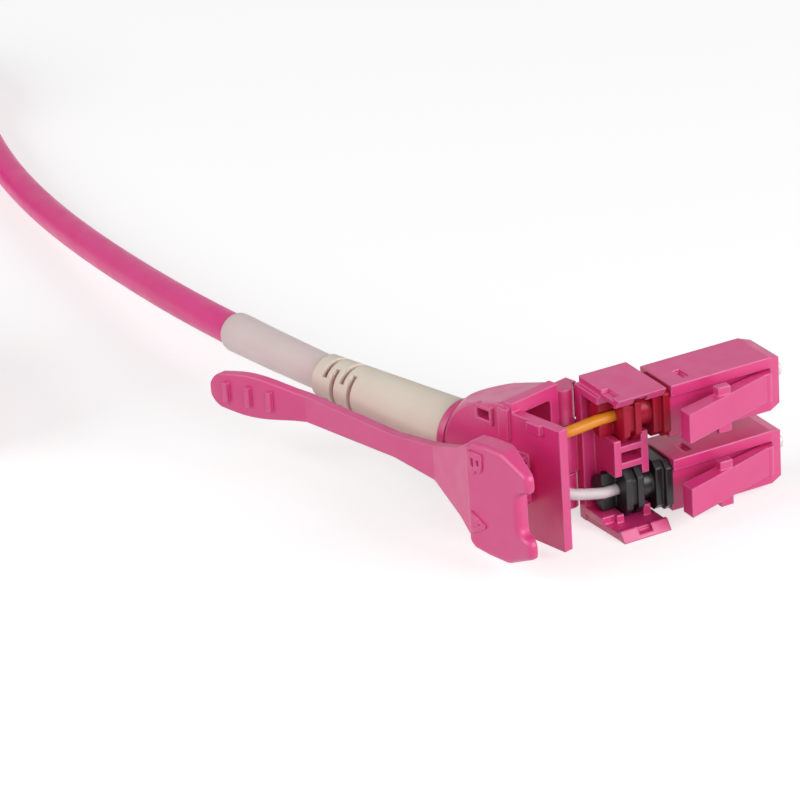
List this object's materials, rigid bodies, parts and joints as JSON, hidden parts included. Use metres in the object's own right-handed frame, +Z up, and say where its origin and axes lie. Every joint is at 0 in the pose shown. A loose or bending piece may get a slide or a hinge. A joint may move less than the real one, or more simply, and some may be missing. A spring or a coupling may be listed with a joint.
{
  "type": "fibre optic cable",
  "caption": "Duplex fibre optic patch cable whose uniboot connector swings open on a hinge so that its plugs can be exchanged; pull tab, tapered boot and coiled jacket.",
  "frame": {"origin": "middle of the plug holder's foot face, on the surface that the cable lies on", "axes": "+X across the plugs towards their latches, +Y along the plugs towards the ferrules, +Z up"},
  "size_m": [0.1531, 0.0638, 0.012],
  "materials": {
    "pink_plastic": "satin",
    "pink_jacket": "satin",
    "white_rubber": "matte",
    "clear_sleeve": "satin",
    "red_plastic": "satin",
    "black_plastic": "satin",
    "yellow_buffer": "satin",
    "white_buffer": "satin",
    "ceramic": "gloss",
    "flange_metal": "satin",
    "spring_steel": "satin",
    "crimp_metal": "satin",
    "tie_fabric": "matte"
  },
  "bodies": {
    "rear": {"rear_housing": "pink_plastic", "boot": "white_rubber", "crimp_sleeve": "crimp_metal", "shrink_sleeve": "clear_sleeve", "cable": "pink_jacket", "cable_coil": "pink_jacket", "coil_tie": "tie_fabric", "upper_fibre": "yellow_buffer", "lower_fibre": "white_buffer", "far_rear_housing": "pink_plastic", "far_boot": "white_rubber", "far_crimp_sleeve": "crimp_metal", "far_shrink_sleeve": "clear_sleeve", "far_cable": "pink_jacket", "far_upper_fibre": "yellow_buffer", "far_lower_fibre": "white_buffer"},
    "tab": {"pull_tab": "pink_plastic"},
    "holder": {"plug_holder": "pink_plastic", "upper_plug_body": "pink_plastic", "upper_rear_body": "red_plastic", "upper_spring": "spring_steel", "lower_plug_body": "pink_plastic", "lower_rear_body": "black_plastic", "lower_spring": "spring_steel"},
    "upper_latch": {"upper_latch": "pink_plastic"},
    "upper_ferrule": {"upper_ferrule": "ceramic", "upper_flange": "flange_metal"},
    "lower_latch": {"lower_latch": "pink_plastic"},
    "lower_ferrule": {"lower_ferrule": "ceramic", "lower_flange": "flange_metal"},
    "far_tab": {"far_pull_tab": "pink_plastic"},
    "far_holder": {"far_plug_holder": "pink_plastic", "far_upper_plug_body": "pink_plastic", "far_upper_rear_body": "red_plastic", "far_upper_spring": "spring_steel", "far_lower_plug_body": "pink_plastic", "far_lower_rear_body": "black_plastic", "far_lower_spring": "spring_steel"},
    "far_upper_latch": {"far_upper_latch": "pink_plastic"},
    "far_upper_ferrule": {"far_upper_ferrule": "ceramic", "far_upper_flange": "flange_metal"},
    "far_lower_latch": {"far_lower_latch": "pink_plastic"},
    "far_lower_ferrule": {"far_lower_ferrule": "ceramic", "far_lower_flange": "flange_metal"}
  },
  "joints": [
    {"name": "holder_swing", "type": "hinge", "parent": "rear", "child": "holder", "pos_m": [-0.0033, -0.00315, 0.006], "axis": [0, 0, 1], "range_deg": [-76, 0], "deforming": ["upper_fibre", "lower_fibre"]},
    {"name": "tab_slide", "type": "slide", "parent": "rear", "child": "tab", "axis": [0.9703, 0.2419, 0], "range_m": [-0.002, 0]},
    {"name": "upper_latch_press", "type": "hinge", "parent": "holder", "child": "upper_latch", "pos_m": [0.00235, 0.01165, 0.00912], "axis": [0, 0, 1], "range_deg": [-10, 0], "stiffness_Nm_per_rad": 0.02},
    {"name": "upper_ferrule_push", "type": "slide", "parent": "holder", "child": "upper_ferrule", "axis": [0, 1, 0], "range_m": [-0.0005, 0], "stiffness_N_per_m": 400, "deforming": ["upper_spring", "upper_fibre"]},
    {"name": "lower_latch_press", "type": "hinge", "parent": "holder", "child": "lower_latch", "pos_m": [0.00235, 0.01165, 0.00287], "axis": [0, 0, 1], "range_deg": [-10, 0], "stiffness_Nm_per_rad": 0.02},
    {"name": "lower_ferrule_push", "type": "slide", "parent": "holder", "child": "lower_ferrule", "axis": [0, 1, 0], "range_m": [-0.0005, 0], "stiffness_N_per_m": 400, "deforming": ["lower_spring", "lower_fibre"]},
    {"name": "far_holder_swing", "type": "hinge", "parent": "rear", "child": "far_holder", "pos_m": [-0.0573, -0.03715, 0.006], "axis": [0, 0, 1], "range_deg": [0, 76], "deforming": ["far_upper_fibre", "far_lower_fibre"]},
    {"name": "far_tab_slide", "type": "slide", "parent": "rear", "child": "far_tab", "axis": [1, 0, 0], "range_m": [-0.002, 0]},
    {"name": "far_upper_latch_press", "type": "hinge", "parent": "far_holder", "child": "far_upper_latch", "pos_m": [-0.0425, -0.0428, 0.00912], "axis": [0, 0, 1], "range_deg": [-10, 0], "stiffness_Nm_per_rad": 0.02},
    {"name": "far_upper_ferrule_push", "type": "slide", "parent": "far_holder", "child": "far_upper_ferrule", "axis": [1, 0, 0], "range_m": [-0.0005, 0], "stiffness_N_per_m": 400, "deforming": ["far_upper_spring", "far_upper_fibre"]},
    {"name": "far_lower_latch_press", "type": "hinge", "parent": "far_holder", "child": "far_lower_latch", "pos_m": [-0.0425, -0.0428, 0.00287], "axis": [0, 0, 1], "range_deg": [-10, 0], "stiffness_Nm_per_rad": 0.02},
    {"name": "far_lower_ferrule_push", "type": "slide", "parent": "far_holder", "child": "far_lower_ferrule", "axis": [1, 0, 0], "range_m": [-0.0005, 0], "stiffness_N_per_m": 400, "deforming": ["far_lower_spring", "far_lower_fibre"]}
  ]
}
